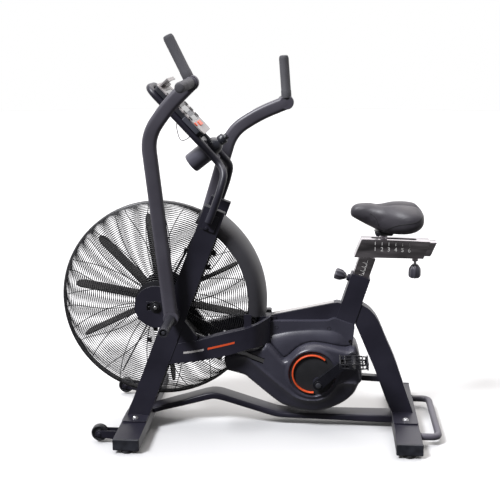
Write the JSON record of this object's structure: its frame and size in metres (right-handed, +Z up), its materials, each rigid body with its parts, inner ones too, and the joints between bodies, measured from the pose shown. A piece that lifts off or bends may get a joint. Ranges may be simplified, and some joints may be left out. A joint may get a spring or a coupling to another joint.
{
  "type": "air bike",
  "caption": "Dual-action exercise bike with a caged fan, swinging handle arms, crank drive in a moulded casing, sliding saddle and tilted console.",
  "frame": {"origin": "bottom centre of the bounding box, on the floor", "axes": "+Z up, +X towards the saddle end, +Y towards the rider's right"},
  "size_m": [1.352, 0.674, 1.3868],
  "materials": {
    "frame_paint": "satin powder coat",
    "arm_paint": "satin powder coat",
    "casing_plastic": "fine grain",
    "trim_plastic": "fine grain",
    "ring_orange": "satin",
    "pale_trim": "satin",
    "bezel_grey": "satin",
    "screen_glass": "gloss",
    "bright_steel": "brushed",
    "wire_black": "gloss powder coat",
    "blade_black": "satin",
    "grip_rubber": "foam",
    "pad_rubber": "matt",
    "belt_rubber": "matt",
    "vinyl": "grained vinyl",
    "bottle_plastic": "gloss"
  },
  "bodies": {
    "frame": {"front_stabiliser": "frame_paint", "rear_stabiliser": "frame_paint", "front_left_pad": "pad_rubber", "front_right_pad": "pad_rubber", "rear_left_pad": "pad_rubber", "rear_right_pad": "pad_rubber", "base_spine": "frame_paint", "carry_handle": "frame_paint", "left_side_frame": "frame_paint", "right_side_frame": "frame_paint", "rear_frame": "frame_paint", "spine_trim": "pale_trim", "left_casing": "casing_plastic", "right_casing": "casing_plastic", "left_ring": "ring_orange", "right_ring": "ring_orange", "fan_shroud": "casing_plastic", "cage_hoop": "wire_black", "left_grille": "wire_black", "right_grille": "wire_black", "fan_axle": "bright_steel", "crank_left_bearing": "bright_steel", "crank_right_bearing": "bright_steel", "drive_belt": "belt_rubber", "left_foot_peg": "bright_steel", "right_foot_peg": "bright_steel", "console_support": "frame_paint", "console_housing": "trim_plastic", "console_bezel": "bezel_grey", "console_screen": "screen_glass", "console_cable": "trim_plastic", "bottle_cup": "trim_plastic"},
    "fan": {"fan_wheel": "blade_black", "fan_hub": "bright_steel", "fan_left_bearing": "bright_steel", "fan_right_bearing": "bright_steel"},
    "crank": {"crank_axle": "bright_steel", "drive_pulley": "trim_plastic", "left_crank": "arm_paint", "right_crank": "arm_paint"},
    "left_pedal_body": {"left_pedal": "trim_plastic"},
    "right_pedal_body": {"right_pedal": "trim_plastic"},
    "left_swing_arm": {"left_arm": "arm_paint", "left_upright_grip": "grip_rubber", "left_outer_grip": "grip_rubber"},
    "right_swing_arm": {"right_arm": "arm_paint", "right_upright_grip": "grip_rubber", "right_outer_grip": "grip_rubber"},
    "left_push_rod": {"left_rod": "bright_steel"},
    "right_push_rod": {"right_rod": "bright_steel"},
    "seat_column": {"seat_post": "bright_steel"},
    "seat_carriage": {"seat_slider": "bright_steel", "saddle": "vinyl"},
    "height_pin": {"height_knob": "trim_plastic"},
    "clamp_screw": {"slider_knob": "trim_plastic"},
    "left_transport_wheel": {"left_wheel": "trim_plastic"},
    "right_transport_wheel": {"right_wheel": "trim_plastic"},
    "drink_bottle": {"bottle": "bottle_plastic"}
  },
  "joints": [
    {"name": "crank_spin", "type": "hinge", "parent": "frame", "child": "crank", "pos_m": [0.2426, 0, 0.187], "axis": [0, 1, 0], "continuous": true},
    {"name": "fan_spin", "type": "hinge", "parent": "frame", "child": "fan", "pos_m": [-0.325, 0, 0.458], "axis": [0, 1, 0], "continuous": true},
    {"name": "left_pedal_spin", "type": "hinge", "parent": "crank", "child": "left_pedal_body", "pos_m": [0.3615, 0, 0.29406], "axis": [0, 1, 0], "continuous": true},
    {"name": "right_pedal_spin", "type": "hinge", "parent": "crank", "child": "right_pedal_body", "pos_m": [0.1237, 0, 0.07994], "axis": [0, 1, 0], "continuous": true},
    {"name": "left_arm_swing", "type": "hinge", "parent": "frame", "child": "left_swing_arm", "pos_m": [-0.264, 0, 0.4345], "axis": [0, 1, 0], "range_deg": [-1.5, 23.5]},
    {"name": "right_arm_swing", "type": "hinge", "parent": "frame", "child": "right_swing_arm", "pos_m": [-0.264, 0, 0.4345], "axis": [0, 1, 0], "range_deg": [-23.5, 1.5]},
    {"name": "left_rod_pin", "type": "hinge", "parent": "left_swing_arm", "child": "left_push_rod", "pos_m": [-0.27308, 0, 0.38025], "axis": [0, 1, 0], "range_deg": [-23.5, 1.5]},
    {"name": "right_rod_pin", "type": "hinge", "parent": "right_swing_arm", "child": "right_push_rod", "pos_m": [-0.29274, 0, 0.3876], "axis": [0, 1, 0], "range_deg": [-1.5, 23.5]},
    {"name": "seat_height", "type": "slide", "parent": "frame", "child": "seat_column", "axis": [0.299, 0, 0.9543], "range_m": [-0.06, 0.06]},
    {"name": "seat_reach", "type": "slide", "parent": "seat_column", "child": "seat_carriage", "axis": [1, 0, 0], "range_m": [-0.015, 0.085]},
    {"name": "height_pin_pull", "type": "slide", "parent": "frame", "child": "height_pin", "axis": [-0.9543, 0, 0.299], "range_m": [0, 0.012], "stiffness_N_per_m": 800, "springref_m": -0.01},
    {"name": "clamp_screw_turn", "type": "hinge", "parent": "seat_column", "child": "clamp_screw", "pos_m": [0.572, 0, 0.6], "axis": [0, 0, 1], "continuous": true},
    {"name": "left_wheel_roll", "type": "hinge", "parent": "frame", "child": "left_transport_wheel", "pos_m": [-0.51, 0, 0.036], "axis": [0, 1, 0], "continuous": true},
    {"name": "right_wheel_roll", "type": "hinge", "parent": "frame", "child": "right_transport_wheel", "pos_m": [-0.51, 0, 0.036], "axis": [0, 1, 0], "continuous": true},
    {"name": "bottle_lift", "type": "slide", "parent": "frame", "child": "drink_bottle", "axis": [0.788, 0, 0.6157], "range_m": [0, 0.1]}
  ],
  "couplings": [
    {"joint": "fan_spin", "follows": "crank_spin", "ratio": 3},
    {"joint": "right_arm_swing", "follows": "left_arm_swing", "ratio": -1},
    {"joint": "left_rod_pin", "follows": "left_arm_swing", "ratio": -1},
    {"joint": "right_rod_pin", "follows": "left_arm_swing", "ratio": 1}
  ]
}
